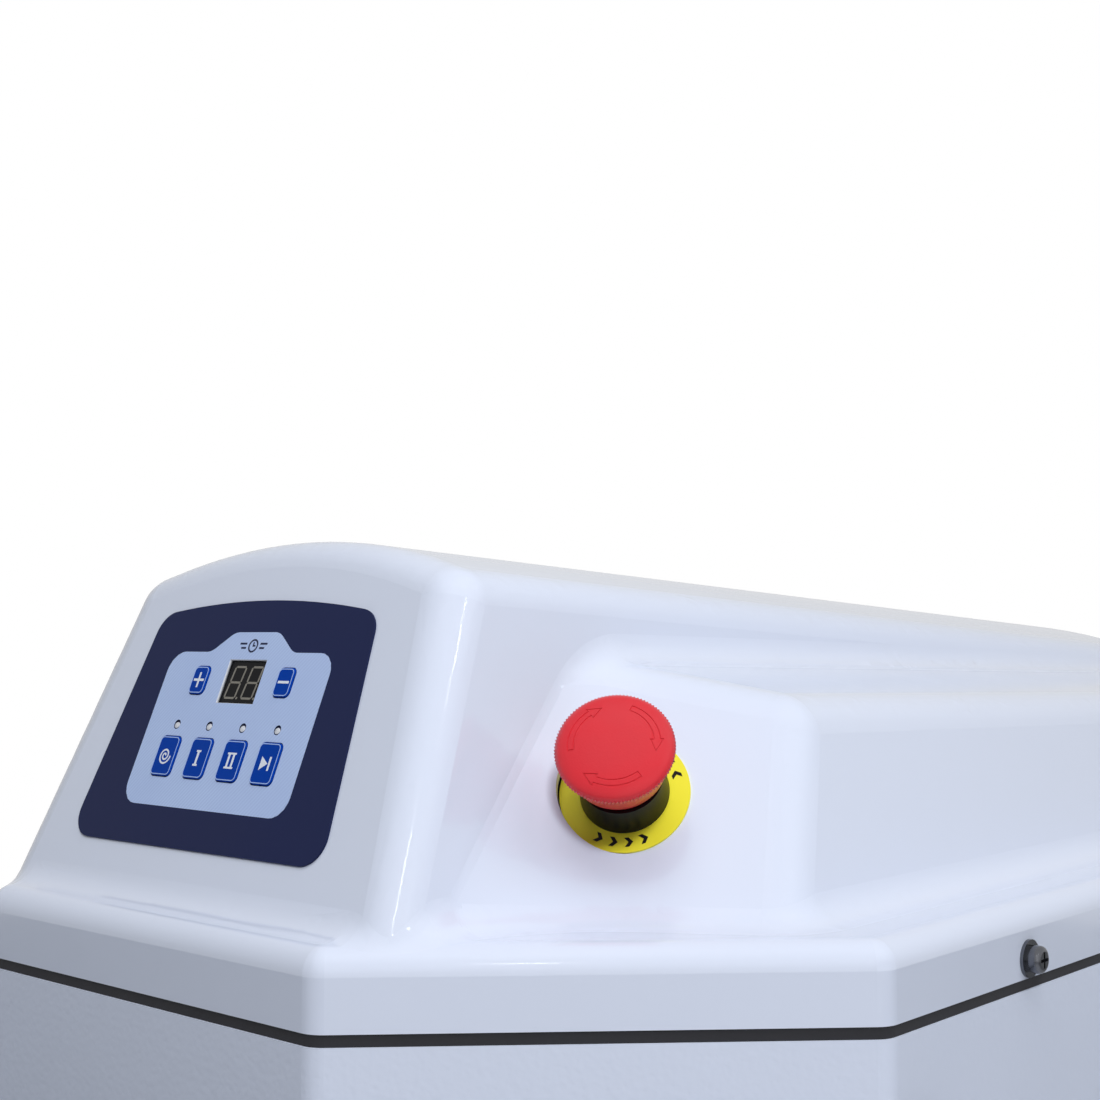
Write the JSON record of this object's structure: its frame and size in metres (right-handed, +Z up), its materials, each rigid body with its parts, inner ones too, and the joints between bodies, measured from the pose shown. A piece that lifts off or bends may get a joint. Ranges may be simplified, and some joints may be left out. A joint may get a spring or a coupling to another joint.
{
  "type": "spiral dough mixer",
  "caption": "Floor-standing spiral dough mixer: white housing with moulded top cover and sloped key panel, turning bowl, spiral hook, breaker bar, lifting wire guard and stop button.",
  "frame": {"origin": "middle of the machine's footprint, on the floor under the levelling feet", "axes": "+Z up, -Y towards the operator (bowl and control panel), +X to the operator's right"},
  "size_m": [0.464, 0.868, 0.8714],
  "materials": {
    "cover_white": "glossy moulded cover",
    "body_paint": "white powder coat with slight orange peel",
    "frame_paint": "grey primer on welded tube",
    "stainless": "brushed stainless steel",
    "polished_rod": "polished stainless rod",
    "shaft_steel": "turned steel",
    "zinc_fastener": "bright zinc plated",
    "cast_housing": "painted casting",
    "motor_alloy": "cast aluminium",
    "black_rubber": "matte black rubber",
    "seal_strip": "dark foam strip",
    "black_plastic": "black moulded plastic",
    "stop_red": "red satin plastic",
    "legend_yellow": "yellow sheet",
    "panel_film": "dark blue printed film",
    "key_blue": "blue embossed key",
    "display_dark": "dark display window",
    "lamp_lens": "small lamp lens",
    "board_green": "circuit board",
    "grey_plastic": "grey moulded plastic"
  },
  "bodies": {
    "machine": {"main_frame": "frame_paint", "levelling_feet": "black_rubber", "base_shell": "body_paint", "column_shell": "body_paint", "head_shell": "body_paint", "rear_panel": "body_paint", "rear_panel_screws": "zinc_fastener", "cable_gland": "black_plastic", "top_cover": "cover_white", "cover_seal": "seal_strip", "cover_screws": "zinc_fastener", "cover_spring_washers": "zinc_fastener", "cover_washers": "zinc_fastener", "head_plate": "frame_paint", "frame_bolts": "zinc_fastener", "spiral_bearing_housing": "cast_housing", "spiral_bearings": "shaft_steel", "spiral_seal": "black_rubber", "spiral_motor": "motor_alloy", "spiral_belts": "black_rubber", "breaker_bar": "stainless", "breaker_bar_nut": "zinc_fastener", "bowl_bearing_housing": "cast_housing", "bowl_bearings": "shaft_steel", "bowl_gearmotor": "motor_alloy", "bowl_belt": "black_rubber", "control_overlay": "panel_film", "control_board": "board_green", "digit_display": "display_dark", "status_lights": "lamp_lens", "stop_legend": "legend_yellow", "stop_collar": "black_plastic", "stop_nut": "black_plastic", "stop_contact_block": "grey_plastic", "electrical_plate": "frame_paint", "contactors": "grey_plastic", "guard_pivot_pins": "stainless", "guard_switch": "black_plastic"},
    "spiral": {"spiral_shaft": "stainless", "spiral_hook": "stainless", "hook_bolts": "stainless", "spiral_pulley": "cast_housing"},
    "motor_rotor": {"motor_shaft": "shaft_steel", "motor_pulley": "cast_housing"},
    "bowl_unit": {"bowl": "stainless", "bowl_shaft": "shaft_steel", "bowl_bolts": "stainless", "bowl_pulley": "cast_housing"},
    "gear_output": {"gearmotor_shaft": "shaft_steel", "gearmotor_pulley": "cast_housing"},
    "guard": {"guard_grille": "polished_rod", "guard_arms": "stainless"},
    "stop_stem": {"stop_plunger": "grey_plastic"},
    "stop_head": {"stop_button": "stop_red"},
    "key_plus_body": {"key_plus": "key_blue"},
    "key_minus_body": {"key_minus": "key_blue"},
    "key_stir_body": {"key_stir": "key_blue"},
    "key_speed_one_body": {"key_speed_one": "key_blue"},
    "key_speed_two_body": {"key_speed_two": "key_blue"},
    "key_jog_body": {"key_jog": "key_blue"}
  },
  "joints": [
    {"name": "spiral_spin", "type": "hinge", "parent": "machine", "child": "spiral", "pos_m": [0, -0.112, 0.4], "axis": [0, 0, 1], "continuous": true},
    {"name": "motor_spin", "type": "hinge", "parent": "machine", "child": "motor_rotor", "pos_m": [0, 0.171, 0.4], "axis": [0, 0, 1], "continuous": true},
    {"name": "bowl_spin", "type": "hinge", "parent": "machine", "child": "bowl_unit", "pos_m": [0, -0.212, 0.4], "axis": [0, 0, 1], "continuous": true},
    {"name": "gearmotor_spin", "type": "hinge", "parent": "machine", "child": "gear_output", "pos_m": [0, 0.146, 0.4], "axis": [0, 0, 1], "continuous": true},
    {"name": "guard_lift", "type": "hinge", "parent": "machine", "child": "guard", "pos_m": [0, -0.144, 0.667], "axis": [-1, 0, 0], "range_deg": [0, 75]},
    {"name": "stop_push", "type": "slide", "parent": "machine", "child": "stop_stem", "axis": [-0.4457, 0.716, -0.5373], "range_m": [0, 0.004], "stiffness_N_per_m": 1500},
    {"name": "stop_twist", "type": "hinge", "parent": "stop_stem", "child": "stop_head", "pos_m": [0.1261, -0.1721, 0.7819], "axis": [-0.4457, 0.716, -0.5373], "range_deg": [0, 45], "stiffness_Nm_per_rad": 0.2},
    {"name": "key_plus_press", "type": "slide", "parent": "machine", "child": "key_plus_body", "axis": [0, 0.9239, -0.3827], "range_m": [0, 0.0004], "stiffness_N_per_m": 2000},
    {"name": "key_minus_press", "type": "slide", "parent": "machine", "child": "key_minus_body", "axis": [0, 0.9239, -0.3827], "range_m": [0, 0.0004], "stiffness_N_per_m": 2000},
    {"name": "key_stir_press", "type": "slide", "parent": "machine", "child": "key_stir_body", "axis": [0, 0.9239, -0.3827], "range_m": [0, 0.0004], "stiffness_N_per_m": 2000},
    {"name": "key_speed_one_press", "type": "slide", "parent": "machine", "child": "key_speed_one_body", "axis": [0, 0.9239, -0.3827], "range_m": [0, 0.0004], "stiffness_N_per_m": 2000},
    {"name": "key_speed_two_press", "type": "slide", "parent": "machine", "child": "key_speed_two_body", "axis": [0, 0.9239, -0.3827], "range_m": [0, 0.0004], "stiffness_N_per_m": 2000},
    {"name": "key_jog_press", "type": "slide", "parent": "machine", "child": "key_jog_body", "axis": [0, 0.9239, -0.3827], "range_m": [0, 0.0004], "stiffness_N_per_m": 2000}
  ],
  "couplings": [
    {"joint": "motor_spin", "follows": "spiral_spin", "ratio": 5.2143},
    {"joint": "gearmotor_spin", "follows": "bowl_spin", "ratio": 3.4118}
  ]
}
